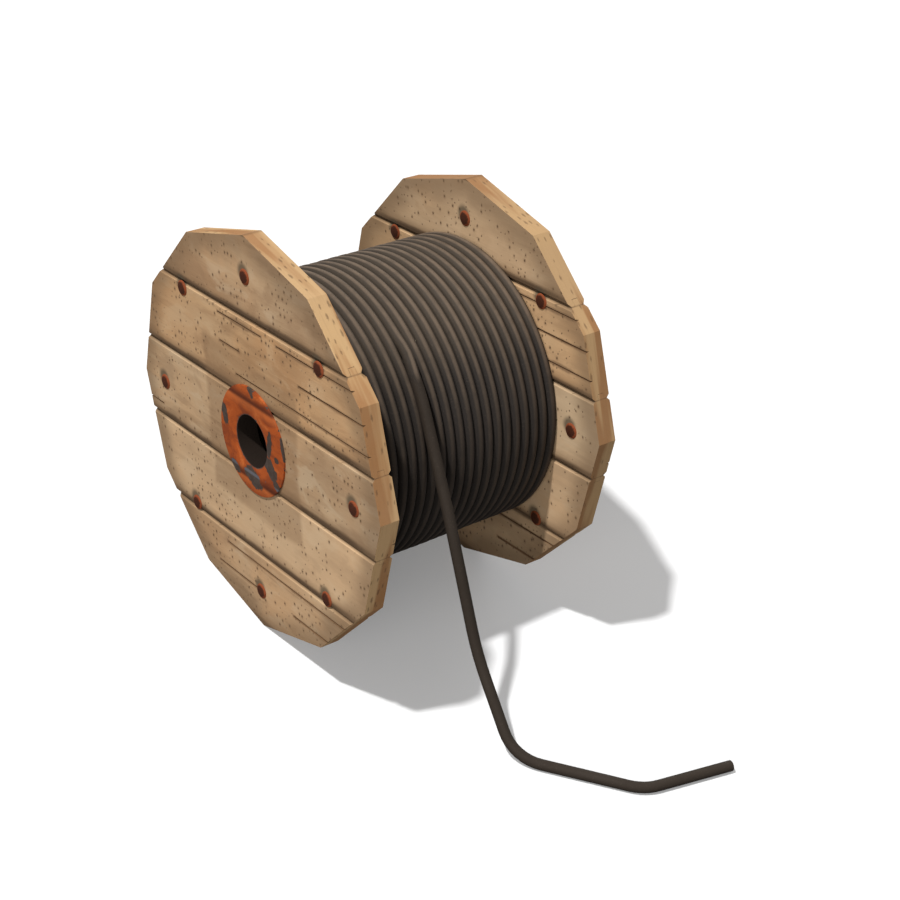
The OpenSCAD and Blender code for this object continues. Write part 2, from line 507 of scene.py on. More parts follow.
@shared_group("Beside splits", ("Place",), ("Distance",))
def beside_splits(s, given, out):
    """How far a place on a board's face is from the nearest split."""
    x, y, z = s.split(given["Place"])
    outer = s.math("SIGN", s.math("SUBTRACT", s.math("ABSOLUTE", x), INNER_X + BOARD_T / 2))
    way = s.math("MULTIPLY", s.math("SIGN", x), s.math("MULTIPLY", outer, -1.0))
    along = s.math("MULTIPLY", y, way)
    nearest = None
    for start, end, across, _ in SPLITS:
        off = s.math("ABSOLUTE", s.math("SUBTRACT", z, across))
        middle = s.math("ABSOLUTE", s.math("SUBTRACT", along, (start + end) / 2))
        gap = s.math("MAXIMUM", off, s.math("SUBTRACT", middle, abs(start - end) / 2))
        nearest = gap if nearest is None else s.math("MINIMUM", nearest, gap)
    s.put(out["Distance"], nearest)


def board_number(s, z):
    """The board that a place is on, counted up from the lowest."""
    return s.math("FLOOR", s.math("DIVIDE", s.math("ADD", z, FLANGE_R), BOARD_W))


def on_board(s, number, k, share):
    """A share on one board, and 0 on the others."""
    return s.step(s.math("ABSOLUTE", s.math("SUBTRACT", number, k)), 0.4, 0.6, share, 0.0)


def joint_places(s, z):
    """How far a place is above the joint below it, and below the joint above it."""
    share = s.math("FRACT", s.math("DIVIDE", s.math("ADD", z, FLANGE_R), BOARD_W))
    return s.math("MULTIPLY", share, BOARD_W), s.math("MULTIPLY", s.math("SUBTRACT", 1.0, share), BOARD_W)


def from_axis(s, y, z):
    return s.math("SQRT", s.math("ADD", s.math("MULTIPLY", y, y), s.math("MULTIPLY", z, z)))


def face_material():
    c = colours()
    material, s = new_material("weathered_board_face_with_painted_light")
    place = s.use(reel_place())["Place"]
    x, y, z = s.split(place)
    number = board_number(s, z)
    grain = s.vector(
        "ADD", place, s.join(s.math("MULTIPLY", number, 0.37), s.math("MULTIPLY", number, 1.71), 0.0)
    )
    wood = s.use(timber(), Place=grain)
    patch = s.use(grime(), Place=grain, Scale=5.0)["Mask"]
    colour = s.mix(patch, c.face_tan, c.face_grey)
    colour = s.stain(colour, wood["Bands"], 0.51, 0.72, 0.50, c.face_brown)
    colour = s.stain(colour, wood["Bands"], 0.47, 0.30, 0.50, c.face_pale)
    colour = s.stain(colour, wood["Fibres"], 0.52, 0.80, 0.22, c.face_brown)
    soaked = s.join(x, s.math("MULTIPLY", y, 0.4), s.math("MULTIPLY_ADD", number, 0.13, z))
    damp = s.noise(soaked, 9, 3, 0.5)
    colour = s.stain(colour, damp, 0.50, 0.70, 0.48, (0.28, 0.158, 0.080))
    colour = s.stain(colour, damp, 0.47, 0.30, 0.40, (0.50, 0.355, 0.222))
    smear = s.join(x, s.math("MULTIPLY", y, 0.45), s.math("MULTIPLY_ADD", number, 0.31, z))
    smudge = s.noise(smear, 24, 4, 0.6, 0.4)
    colour = s.stain(colour, smudge, 0.51, 0.65, 0.42, (0.27, 0.158, 0.084))
    colour = s.stain(colour, smudge, 0.48, 0.35, 0.42, (0.56, 0.410, 0.262))
    # Paler on the lowest board, which is newer, and on the inner faces, which are less weathered; the
    # inner faces' extra pale is also painted light that lifts the shade cast by the winding and the other
    # flange.
    newer = on_board(s, number, 1.0, 0.38)
    inner_pale_and_lit = s.step(s.math("ABSOLUTE", x), INNER_X + 0.008, INNER_X + 0.012, 0.42, 0.0)
    colour = s.mix(s.math("MAXIMUM", newer, inner_pale_and_lit), colour, (0.66, 0.46, 0.275))
    tint = s.mix(on_board(s, number, 3.0, 1.0), (1.0, 1.0, 1.0), (1.0, 0.935, 0.85))
    tint = s.mix(on_board(s, number, 2.0, 1.0), tint, (0.985, 1.02, 1.05))
    colour = s.vector("MULTIPLY", colour, tint)
    marks = s.use(flecks(), Place=grain, Size=0.0115, Few=2.10)
    spots = marks["Mask"]
    colour = s.mix(s.math("MULTIPLY", marks["Halo"], 0.45), colour, (0.20, 0.118, 0.062))
    colour = s.mix(s.math("MULTIPLY", spots, 0.85), colour, (0.085, 0.052, 0.027))
    crack = s.math("MULTIPLY_ADD", smudge, -0.012, s.use(beside_splits(), Place=place)["Distance"])
    colour = s.stain(colour, crack, -0.0014, -0.0056, 0.72, (0.19, 0.110, 0.060))
    # Painted shade fades up over the lower edge of each board from the dark joint below it; just under the
    # joint above lies a painted highlight on the lip, then the dark joint line.
    low, high = joint_places(s, z)
    uneven = s.math("MULTIPLY_ADD", patch, -0.004, s.math("MULTIPLY_ADD", wood["Fibres"], -0.003, low))
    colour = s.stain(colour, uneven, 0.023, 0.001, 0.66, (0.19, 0.108, 0.055))
    colour = s.stain(colour, uneven, 0.011, 0.003, 0.92, (0.076, 0.045, 0.024))
    colour = s.stain(colour, high, 0.009, 0.0045, 0.20, c.face_pale)
    colour = s.stain(colour, high, 0.0042, 0.0008, 0.85, (0.10, 0.06, 0.032))
    r = from_axis(s, y, z)
    corner = s.math("PINGPONG", s.math("ADD", s.math("ARCTAN2", z, y), pi), pi / 12)
    outwards = s.math("MULTIPLY", r, s.math("COSINE", s.math("SUBTRACT", pi / 12, corner)))
    ragged = s.math("MULTIPLY_ADD", patch, -0.012, s.math("SUBTRACT", APOTHEM, outwards))
    colour = s.stain(colour, ragged, 0.046, 0.0, 0.62, (0.17, 0.105, 0.057))
    around = s.math("MAXIMUM", s.math("ABSOLUTE", y), s.math("ABSOLUTE", z))
    hub = s.math("MULTIPLY_ADD", damp, 0.05, around)
    colour = s.stain(colour, hub, 0.153, 0.140, 0.46, c.face_brown)
    # Painted shadow of each rivet head: a dark patch set off to one side of it, with a rust stain.
    rivet_shadow_at = s.vector("ADD", place, (0.0, -0.004, -0.006))
    stain = s.use(rivet_distance(), Place=rivet_shadow_at)["Distance"]
    colour = s.stain(colour, stain, 0.018, 0.008, 0.80, (0.075, 0.058, 0.036))
    height = s.math("MULTIPLY_ADD", wood["Fibres"], 0.35, s.math("MULTIPLY", wood["Bands"], 0.5))
    height = s.math("SUBTRACT", height, s.math("MULTIPLY", spots, 0.8))
    rough = s.step(wood["Bands"], 0.2, 0.8, 0.76, 0.92)
    s.surface(colour, rough, s.bump(height, 0.55, 0.0010), specular=0.18)
    return material


def rim_material():
    c = colours()
    material, s = new_material("sawn_board_rim_with_painted_shade")
    place = s.use(reel_place())["Place"]
    x, y, z = s.split(place)
    round_rim = s.math("MULTIPLY", s.math("ARCTAN2", z, y), FLANGE_R)
    streaks = s.noise(s.join(x, s.math("MULTIPLY", round_rim, 0.07), 0.0), 52, 2, 0.4, 0.4)
    fibres = s.noise(s.join(x, s.math("MULTIPLY", round_rim, 0.025), 0.3), 420, 3, 0.6)
    patch = s.use(grime(), Place=place, Scale=9.0)["Mask"]
    colour = s.mix(s.step(streaks, 0.41, 0.59), c.rim_pale, c.rim_warm)
    colour = s.mix(s.math("MULTIPLY", patch, 0.22), colour, c.face_grey)
    colour = s.stain(colour, fibres, 0.5, 0.8, 0.22, c.face_brown)
    drawn = s.join(0.0, s.math("MULTIPLY", round_rim, 0.28), x)
    dashes = s.math("MULTIPLY", s.use(flecks(), Place=drawn, Size=0.0095, Few=1.95)["Mask"], 0.60)
    colour = s.mix(dashes, colour, (0.12, 0.07, 0.036))
    # Painted shade: the right flange's rim is browner than the left one's.
    colour = s.stain(colour, x, -0.01, 0.01, 0.22, c.face_brown)
    low, high = joint_places(s, z)
    joint = s.math("MINIMUM", low, high)
    colour = s.stain(colour, joint, 0.0016, 0.0, 0.45, (0.14, 0.08, 0.042))
    height = s.math("MULTIPLY_ADD", fibres, 0.4, s.math("MULTIPLY", streaks, 0.5))
    s.surface(colour, 0.82, s.bump(height, 0.5, 0.001), specular=0.18)
    return material


def split_material():
    c = colours()
    material, s = new_material("split_inside")
    tone = s.noise(s.use(reel_place())["Place"], 260, 3, 0.6)
    colour = s.stain(c.split, tone, 0.3, 0.7, 0.4, c.face_brown)
    s.surface(colour, 0.9, s.bump(tone, 0.4, 0.001), specular=0.1)
    return material


def stave_material():
    material, s = new_material("plain_stave_wood")
    x, y, z = s.split(s.use(reel_place())["Place"])
    wood = s.use(timber(), Place=s.join(y, x, z))
    colour = s.mix(s.step(wood["Bands"], 0.3, 0.75), (0.12, 0.072, 0.038), (0.05, 0.030, 0.016))
    s.surface(colour, 0.85, s.bump(wood["Fibres"], 0.4, 0.001), specular=0.25)
    return material


def rust_material():
    c = colours()
    material, s = new_material("rusty_rivet")
    place = s.use(reel_place())["Place"]
    away = s.use(rivet_distance(), Place=place)["Distance"]
    blotch = s.use(grime(), Place=place, Scale=160.0)["Mask"]
    pits = s.noise(place, 900, 3, 0.65)
    ragged = s.math("MULTIPLY_ADD", blotch, 0.0016, away)
    colour = s.mix(s.step(ragged, 0.0088, 0.0118), c.rust_dark, c.rust_pale)
    colour = s.stain(colour, pits, 0.52, 0.75, 0.5, (0.12, 0.03, 0.012))
    rough = s.step(blotch, 0.0, 1.0, 0.6, 0.85)
    s.surface(colour, rough, s.bump(pits, 0.5, 0.0008), specular=0.12)
    return material


# Chips in the paint as (along the boards, across them, half length, half width, turn in degrees).
CHIPS = (
    (0.0730, 0.0178, 0.020, 0.008, 75),
    (-0.0020, 0.0835, 0.012, 0.006, 60),
    (-0.0830, 0.0228, 0.022, 0.005, 80),
    (-0.0490, -0.0270, 0.022, 0.012, 50),
    (-0.0473, 0.0120, 0.022, 0.006, 100),
    (0.0020, -0.0590, 0.024, 0.014, 20),
    (-0.0640, -0.0480, 0.014, 0.007, 40),
    (0.0497, -0.0600, 0.012, 0.008, 30),
    (-0.0650, -0.0050, 0.006, 0.005, 0),
)


@shared_group("Chipped", ("Place",), ("Depth",))
def chipped(s, given, out):
    """How deep a place lies in the nearest chip of the paint: over 0 is bare."""
    x, y, z = s.split(given["Place"])
    y = s.math("MULTIPLY", y, s.math("MULTIPLY", s.math("SIGN", x), -1.0))
    ragged = s.noise(s.join(y, z, 0.0), 95, 3, 0.6)
    deepest = None
    for along, across, length, width, turn in CHIPS:
        a = radians(turn)
        dy, dz = s.math("SUBTRACT", y, along), s.math("SUBTRACT", z, across)
        u = s.math("MULTIPLY_ADD", dy, cos(a) / length, s.math("MULTIPLY", dz, sin(a) / length))
        v = s.math("MULTIPLY_ADD", dz, cos(a) / width, s.math("MULTIPLY", dy, -sin(a) / width))
        far = from_axis(s, u, v)
        deepest = far if deepest is None else s.math("MINIMUM", deepest, far)
    uneven = s.math("MULTIPLY_ADD", ragged, 1.3, 0.35)
    s.put(out["Depth"], s.math("SUBTRACT", uneven, deepest))


def paint_material():
    c = colours()
    material, s = new_material("chipped_orange_paint_with_painted_light")
    place = s.use(reel_place())["Place"]
    x, y, z = s.split(place)
    r = from_axis(s, y, z)
    depth = s.use(chipped(), Place=place)["Depth"]
    nicks = s.noise(place, 130, 3, 0.6)
    rims = s.step(r, RING_R - 0.006, RING_R + 0.001), s.step(r, BORE_R + 0.005, BORE_R + 0.0005)
    edge = s.math("MAXIMUM", *rims)
    nick = s.step(s.math("MULTIPLY_ADD", edge, 0.16, nicks), 0.74, 0.76)
    bare = s.math("MAXIMUM", s.step(depth, -0.02, 0.03), nick)
    streak = s.noise(s.join(x, s.math("MULTIPLY", y, 0.5), z), 38, 4, 0.6, 0.8)
    colour = s.stain(c.paint, streak, 0.46, 0.64, 0.80, (0.20, 0.042, 0.013))
    colour = s.stain(colour, streak, 0.45, 0.30, 0.60, (0.58, 0.155, 0.038))
    # Painted highlight just below each board joint that the ring crosses, and painted shade along and
    # above the joint, as on the boards.
    low, high = joint_places(s, z)
    colour = s.stain(colour, high, 0.020, 0.006, 0.55, (0.50, 0.135, 0.036))
    shade = s.math("MAXIMUM", s.step(low, 0.0, 0.016, 0.92, 0.0), s.step(high, 0.0, 0.006, 0.92, 0.0))
    colour = s.mix(shade, colour, (0.075, 0.018, 0.008))
    colour = s.stain(colour, r, BORE_R + 0.0028, BORE_R + 0.0005, 0.85, (0.050, 0.043, 0.040))
    steel = s.mix(s.step(nicks, 0.35, 0.7), c.chip, (0.072, 0.053, 0.043))
    scratch = s.step(s.math("ABSOLUTE", s.math("ADD", z, 0.0535)), 0.0012, 0.0040, 0.85, 0.0)
    steel = s.mix(scratch, steel, (0.112, 0.112, 0.126))
    rust = s.step(depth, -0.16, -0.02, 0.0, 0.55)
    colour = s.mix(rust, colour, (0.15, 0.042, 0.016))
    colour = s.mix(bare, colour, steel)
    # Painted shade: the inside of the bore is near-black.
    inside = s.step(r, BORE_R - 0.0001, BORE_R + 0.0009, 1.0, 0.0)
    colour = s.mix(inside, colour, (0.0145, 0.0098, 0.0070))
    height = s.math("MULTIPLY_ADD", bare, -0.6, s.math("MULTIPLY", streak, 0.25))
    rough = s.math("MAXIMUM", inside, s.step(bare, 0.0, 1.0, 0.62, 0.55))
    s.surface(colour, rough, s.bump(height, 0.6, 0.0006), specular=0.12)
    return material


def sheath_material():
    c = colours()
    material, s = new_material("dusty_cable_sheath_with_painted_light")
    coords = s.add("ShaderNodeTexCoord")
    place = coords.outputs["Object"]
    _, ahead, up = s.split(coords.outputs["Normal"])
    _, y, z = s.split(place)
    z = s.math("SUBTRACT", z, AXIS_H)
    r = from_axis(s, y, z)
    film = s.noise(place, 34, 4, 0.6, 0.2)
    grit = s.noise(place, 420, 3, 0.6)
    outward = s.math("DIVIDE", s.math("MULTIPLY_ADD", ahead, y, s.math("MULTIPLY", up, z)), r)
    turn = s.step(r, LAY_R + 0.0095, LAY_R + 0.0105, 1.0, 0.0)
    above = s.math("ARCTAN2", z, s.math("MULTIPLY", y, -1.0))
    wound = s.math("MAXIMUM", turn, s.step(above, TOP_ANGLE - 0.06, TOP_ANGLE))
    # Dust on the crests of the turns and on faces that look up and back, towards the sun; it also paints
    # the ridges' highlights and the shade on the faces that look down and forwards.
    crest = s.math("MULTIPLY", s.step(outward, 0.83, 1.02), wound)
    crest_dust_and_highlight = s.math("MULTIPLY", crest, s.step(film, 0.25, 0.75, 0.45, 0.95))
    lean = s.math("MULTIPLY_ADD", ahead, 0.30, s.math("MULTIPLY", up, 0.95))
    faces_light = s.step(lean, 0.0, 1.0, 0.25, 1.0)
    # Painted light and shade by height on the winding: its grooves are lighter near the top, and lower
    # down the winding is darker than the tail's own sheath.
    upper = s.step(s.math("DIVIDE", z, r), 0.66, 0.97)
    painted_light_by_height = s.mix(upper, (0.0225, 0.0183, 0.0156), (0.055, 0.0420, 0.0305))
    laid = s.mix(wound, c.sheath, painted_light_by_height)
    colour = s.mix(s.math("MULTIPLY", crest_dust_and_highlight, faces_light), laid, c.dust)
    colour = s.stain(colour, grit, 0.55, 0.8, 0.16, c.dust)
    colour = s.stain(colour, film, 0.58, 0.8, 0.40, (0.026, 0.020, 0.016))
    rough = s.step(film, 0.2, 0.8, 0.60, 0.78)
    s.surface(colour, rough, s.bump(grit, 0.25, 0.0004), specular=0.14)
    return material


def plain_finish(name, colour, roughness, metallic=0.0):
    """A finish for the small faces of the cut end, with fine uneven tone."""
    material, s = new_material(name)
    tone = s.noise(s.add("ShaderNodeTexCoord").outputs["Object"], 700, 3, 0.6)
    dark = tuple(0.6 * value for value in colour)
    uneven = s.mix(s.step(tone, 0.3, 0.7), dark, colour)
    s.surface(uneven, roughness, s.bump(tone, 0.3, 0.0003), metallic)
    return material


def material_once(name, build):
    return bpy.data.materials.get(name) or build()


# Pieces


class REEL_OT_tail(bpy.types.Operator):
    """Lays the loose cable tail from the winding to its cut end on the floor"""

    bl_idname = "reel.tail"
    bl_label = "Cable tail"

    FILLER_R, WIRE_R, COPPER_R, WIRE_OUT = 0.0065, 0.00235, 0.0015, 0.0034

    def execute(self, context):
        path = tail_path()
        tail = tube("cable_tail_sheath", [path], 8)
        sheath = material_once("dusty_cable_sheath_with_painted_light", sheath_material)
        finish_piece(tail, sheath, "cable_sheath", "cable_tail")
        cut = self.cut_end(path[-1], (path[-1] - path[-2]).normalized())
        return {"FINISHED"}

    def cut_end(self, end, way):
        """The flush cut: filler, four insulated cores and their strands, each just proud of the last."""
        turn = way.to_track_quat("X", "Z").to_matrix().to_4x4()
        finishes = (
            plain_finish("cut_filler", (0.05, 0.046, 0.043), 0.8),
            plain_finish("cut_insulation", (0.16, 0.15, 0.14), 0.6),
            plain_finish("cut_copper", (0.52, 0.25, 0.13), 0.4, 1.0),
        )
        spots = [(0, self.FILLER_R, 0.0, 0.0, 0.0003)]
        for k in range(4):
            a = radians(45 + 90 * k)
            y, z = self.WIRE_OUT * cos(a), self.WIRE_OUT * sin(a)
            spots.append((1, self.WIRE_R, y, z, 0.0006))
            spots.append((2, self.COPPER_R, y, z, 0.0008))
        made = []
        for index, r, y, z, proud in spots:
            stations = ((-0.001, r * 0.9), (proud - 0.00015, r), (proud, r * 0.93))
            disc = turned("cut", stations, 20)
            disc.data.transform(Matrix.Translation(end) @ turn @ Matrix.Translation((0, y, z)))
            disc.data.materials.append(finishes[index])
            made.append(disc)
        cut = joined(made)
        cut.name = cut.data.name = "cable_cut_end"
        smooth(cut, 40)
        finish_piece(cut, None, "cable_sheath")
        return cut


def rounded_corner(a, b, c, r, n):
    """Points of the arc that rounds corner b of the route a, b, c."""
    u, w = (a - b).normalized(), (c - b).normalized()
    half = acos(u.dot(w)) / 2
    middle = b + (u + w).normalized() * r / sin(half)
    out = (b + u * r / tan(half) - middle).normalized()
    turns = [(pi - 2 * half) * k / n for k in range(n + 1)]
    return [middle + r * (cos(turn) * out - sin(turn) * u) for turn in turns]


def tail_path():
    corners = [TAIL_FROM] + [bend[0] for bend in TAIL_BENDS] + [TAIL_END]
    path = [on_lay(TAIL_X, LIE_R, lerp(TOP_ANGLE, EXIT_ANGLE, k / 3)) for k in range(4)]
    for k, (_, r, n) in enumerate(TAIL_BENDS):
        arc = rounded_corner(corners[k], corners[k + 1], corners[k + 2], r, n)
        path += straight(path[-1], arc[0]) + arc
    return path + straight(path[-1], TAIL_END) + [TAIL_END]


def straight(a, b, step=0.05):
    """Points between a and b, without either."""
    n = max(1, floor((b - a).length / step))
    return [a.lerp(b, k / n) for k in range(1, n)]


class REEL_OT_boards(bpy.types.Operator):
    """Copies the flange boards with worn edges, weathered faces and a sawn rim"""

    bl_idname = "reel.boards"
    bl_label = "Flange boards"

    SPLIT_DEPTH = 0.005
    SPLIT_OVER = 0.0006

    def execute(self, context):
        face = material_once("weathered_board_face_with_painted_light", face_material)
        rim = material_once("sawn_board_rim_with_painted_shade", rim_material)
        inside = material_once("split_inside", split_material)
        for side in SIDES:
            for i in BOARDS:
                node = f"{side}_board_{i}"
                board = copy_of(node, f"{node}_timber")
                for material in (face, rim, inside):
                    board.data.materials.append(material)
                self.mark_rim(board)
                self.wear_edges(board)
                self.split_faces(board, side, i)
                # The rounding and the cuts leave faces without width.
                clean(board, bpy.ops.mesh.dissolve_degenerate, threshold=WELD)
                smooth(board)
                self.keep_flat(board)
                finish_piece(board, None, "weathered_wood", node)
        return {"FINISHED"}

    def mark_rim(self, board):
        """Gives the twelve-sided outline's own faces the rim's finish."""
        level = TO_FLOOR.inverted()
        for polygon in board.data.polygons:
            normal = level.to_3x3() @ polygon.normal
            centre = level @ polygon.center
            out = centre.y * normal.y + centre.z * normal.z
            if abs(normal.x) < 0.1 and out > APOTHEM - 0.001:
                polygon.material_index = 1

    def wear_edges(self, board):
        """Rounds the edges that show, and leaves those inside the joints and holes sharp."""
        mesh = board.data
        level = TO_FLOOR.inverted().to_3x3()
        shows = []
        for polygon in mesh.polygons:
            normal = level @ polygon.normal
            shows.append(polygon.material_index == 1 or abs(normal.x) > 0.5)
        beside = {}
        for polygon in mesh.polygons:
            for key in polygon.edge_keys:
                beside.setdefault(key, []).append(shows[polygon.index])
        weight = mesh.attributes.new("bevel_weight_edge", "FLOAT", "EDGE")
        for edge in mesh.edges:
            weight.data[edge.index].value = float(all(beside[edge.key]))
        bevel = board.modifiers.new("Arris", "BEVEL")
        bevel.width = sizes().arris
        bevel.segments = 2
        bevel.limit_method = "WEIGHT"
        apply_modifiers(board)

    def keep_flat(self, board):
        """Keeps the rounded edges from bending the shading of the flat faces beside them."""
        mesh = board.data
        edges = {edge.key: edge for edge in mesh.edges}
        for polygon in mesh.polygons:
            if not 0.01 < abs(polygon.normal.x) < 0.99:
                for key in polygon.edge_keys:
                    edges[key].use_edge_sharp = True

    def split_faces(self, board, side, i):
        """Cuts the splits of one board into both its faces."""
        top = FLANGE_R - (i - 1) * BOARD_W
        here = [split for split in SPLITS if top - BOARD_W < split[2] < top]
        if not here:
            return
        middle = (-1 if side == "left" else 1) * (INNER_X + BOARD_T / 2)
        cutters = []
        for start, end, across, width in here:
            for way in (-1, 1):
                cutter = self.wedge(way)
                depth = self.SPLIT_DEPTH + self.SPLIT_OVER
                out = middle + way * (BOARD_T / 2 + self.SPLIT_OVER - depth / 2)
                cutter.data.transform(
                    TO_FLOOR
                    @ Matrix.Translation((out, -way * (start + end) / 2, across))
                    @ Matrix.Diagonal((depth, abs(start - end), width, 1))
                )
                cutters.append(cutter)
        knife = joined(cutters)
        for material in board.data.materials:
            knife.data.materials.append(material)
        for polygon in knife.data.polygons:
            polygon.material_index = 2
        cut = board.modifiers.new("Splits", "BOOLEAN")
        cut.object = knife
        cut.operation = "DIFFERENCE"
        cut.solver = "EXACT"
        cut.material_mode = "INDEX"
        apply_modifiers(board)
        bpy.data.objects.remove(knife)

    def wedge(self, way):
        """A block of unit size that narrows away from the face that it cuts."""
        deselect()
        bpy.ops.mesh.primitive_cube_add(size=1)
        wedge = bpy.context.object
        bpy.ops.object.mode_set(mode="EDIT")
        bpy.ops.mesh.select_all(action="DESELECT")
        bpy.ops.object.mode_set(mode="OBJECT")
        for vertex in wedge.data.vertices:
            vertex.select = vertex.co.x * way < 0
        bpy.ops.object.mode_set(mode="EDIT")
        bpy.ops.transform.resize(value=(1, 0.99, 0.15), center_override=(0, 0, 0))
        bpy.ops.object.mode_set(mode="OBJECT")
        return wedge


class REEL_OT_rivets(bpy.types.Operator):
    """Turns the domed rivets and puts one in each place round both flanges"""

    bl_idname = "reel.rivets"
    bl_label = "Rivets"

    def execute(self, context):
        rust = material_once("rusty_rivet", rust_material)
        r, h = sizes().head_r, sizes().head_h
        dome = [(0.0, 0.30), (0.10, 0.50), (0.28, 0.70), (0.52, 0.87), (0.78, 0.97), (1.0, 1.0)]
        head = [(-h * (1 - drop * 0.92), r * share) for drop, share in dome] + [(0.0, r), (0.0, SHANK_R)]
        stations = head + [(BOARD_T - x, share) for x, share in reversed(head)]
        rivet = turned("rivet", stations, 32)
        smooth(rivet, 50)
        for side in SIDES:
            for k in RIVETS:
                node = f"{side}_rivet_{k}"
                spin = Matrix.Rotation((k - 1) * pi / 4, 4, "X")
                place = on_flange(side) @ spin @ Matrix.Translation((0, 0, RIVET_R))
                finish_piece(placed_copy(rivet, f"{node}_head", place), rust, "rusty_steel", node)
        bpy.data.objects.remove(rivet)
        return {"FINISHED"}


class REEL_OT_bushes(bpy.types.Operator):
    """Turns the bush with its ring plate and sleeve, and puts one in each flange"""

    bl_idname = "reel.bushes"
    bl_label = "Hub bushes"

    EDGE = 0.0007

    def execute(self, context):
        paint = material_once("chipped_orange_paint_with_painted_light", paint_material)
        e, top = self.EDGE, -RING_T
        ring = [(BOARD_T, BORE_R), (top + e, BORE_R), (top + e / 3, BORE_R + e / 3), (top, BORE_R + e)]
        ring += [(top, RING_R - 2 * e), (top + e / 2, RING_R - e / 2), (top + 2 * e, RING_R)]
        ring += [(0.0, RING_R), (0.0, SLEEVE_R), (BOARD_T, SLEEVE_R), (BOARD_T, BORE_R)]
        bush = turned("bush", ring, 96, closed=True)
        smooth(bush, 40)
        for side in SIDES:
            piece = placed_copy(bush, f"{side}_bush_plate", on_flange(side))
            finish_piece(piece, paint, "orange_paint", f"{side}_bush")
        bpy.data.objects.remove(bush)
        return {"FINISHED"}


class REEL_OT_barrel(bpy.types.Operator):
    """Finishes the hidden barrel staves"""

    bl_idname = "reel.barrel"
    bl_label = "Barrel staves"

    def execute(self, context):
        wood = material_once("plain_stave_wood", stave_material)
        for k in STAVES:
            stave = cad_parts[f"stave_{k}"]
            stave.data.materials.clear()
            stave.data.materials.append(wood)
        return {"FINISHED"}


class REEL_OT_winding(bpy.types.Operator):
    """Winds the cable turn by turn, with the layer below it"""

    bl_idname = "reel.winding"
    bl_label = "Cable winding"

    # A turn keeps its slot for most of the way round and steps over at the back, near the floor.
    FIRST_ANGLE = radians(205)
    KEEP = radians(310)
    WHOLE = 2 * pi
    STEPS = 96
    DIVE, RISE = radians(20), radians(18)

    def execute(self, context):
        stray = random.Random(5)
        climbs = EXIT_SLOT * self.WHOLE + self.FIRST_ANGLE - TOP_ANGLE
        laid = self.strand(0, 0.0, climbs, stray) + [on_lay(TAIL_X, LIE_R, TOP_ANGLE - radians(2))]
        begins = self.FIRST_ANGLE - TOP_ANGLE - radians(10)
        runs = (TURNS - EXIT_SLOT - 1) * self.WHOLE + self.KEEP
        beside = self.strand(EXIT_SLOT, begins, runs, stray)
        turns = as_mesh(tube("cable_turns", [laid, beside], 5))
        end_x, in_r, out_r = INNER_X - 0.0002, CORE_R + 0.001, LAY_R - CABLE_D * 0.7
        stations = ((-end_x, in_r), (-end_x, out_r), (end_x, out_r), (end_x, in_r), (-end_x, in_r))
        drum = turned("layer_below", stations, self.STEPS, closed=True)
        drum.data.transform(Matrix.Translation((0, 0, AXIS_H)))
        turns = joined([turns, drum])
        smooth(turns, 50)
        sheath = material_once("dusty_cable_sheath_with_painted_light", sheath_material)
        finish_piece(turns, sheath, "cable_sheath", "cable_winding")
        return {"FINISHED"}

    def strand(self, first_slot, start, end, stray):
        """The middle line of a run of turns from the layer below; the first run ends as the tail."""
        shift = [stray.uniform(-1, 1) * sizes().lay_stray for _ in range(TURNS + 2)]
        lift = [stray.uniform(-1, 1) * sizes().lay_stray for _ in range(TURNS + 2)]
        n = round((end - start) / self.WHOLE * self.STEPS)
        points = []
        for k in range(n + 1):
            turn = lerp(start, end, k / n)
            slot, local = divmod(turn, self.WHOLE)
            slot, share = int(slot), local / self.WHOLE
            over = soft(max(0.0, (local - self.KEEP) / (self.WHOLE - self.KEEP)))
            x = slot_x(first_slot + slot) + PITCH * over + lerp(shift[slot], shift[slot + 1], share)
            r = LAY_R + lerp(lift[slot], lift[slot + 1], share)
            dive = max(0.0, 1 - (turn - start) / self.DIVE)
            if first_slot:
                dive = max(dive, 1 - (end - turn) / self.DIVE)
            else:
                rise = soft(max(0.0, 1 - (end - turn) / self.RISE))
                x, r = self.climb(x, r, rise)
            points.append(on_lay(x, r - CABLE_D * dive * dive, self.FIRST_ANGLE - turn))
        return points

    def climb(self, x, r, rise):
        """Rolls the last turn up over the turn beside it, into the groove where the tail lies."""
        high = (LIE_R - LAY_R) * rise
        beside = slot_x(EXIT_SLOT - 1)
        reach = sqrt((LIE_R - LAY_R) ** 2 + (TAIL_X - beside) ** 2)
        over = beside + sqrt(reach**2 - high**2)
        return lerp(x, over, soft(min(1.0, rise * 4))), lerp(r, LAY_R, rise) + high


def soft(t):
    """A smooth step from 0 to 1."""
    return t * t * (3 - 2 * t)


def lerp(a, b, t):
    return a + (b - a) * t


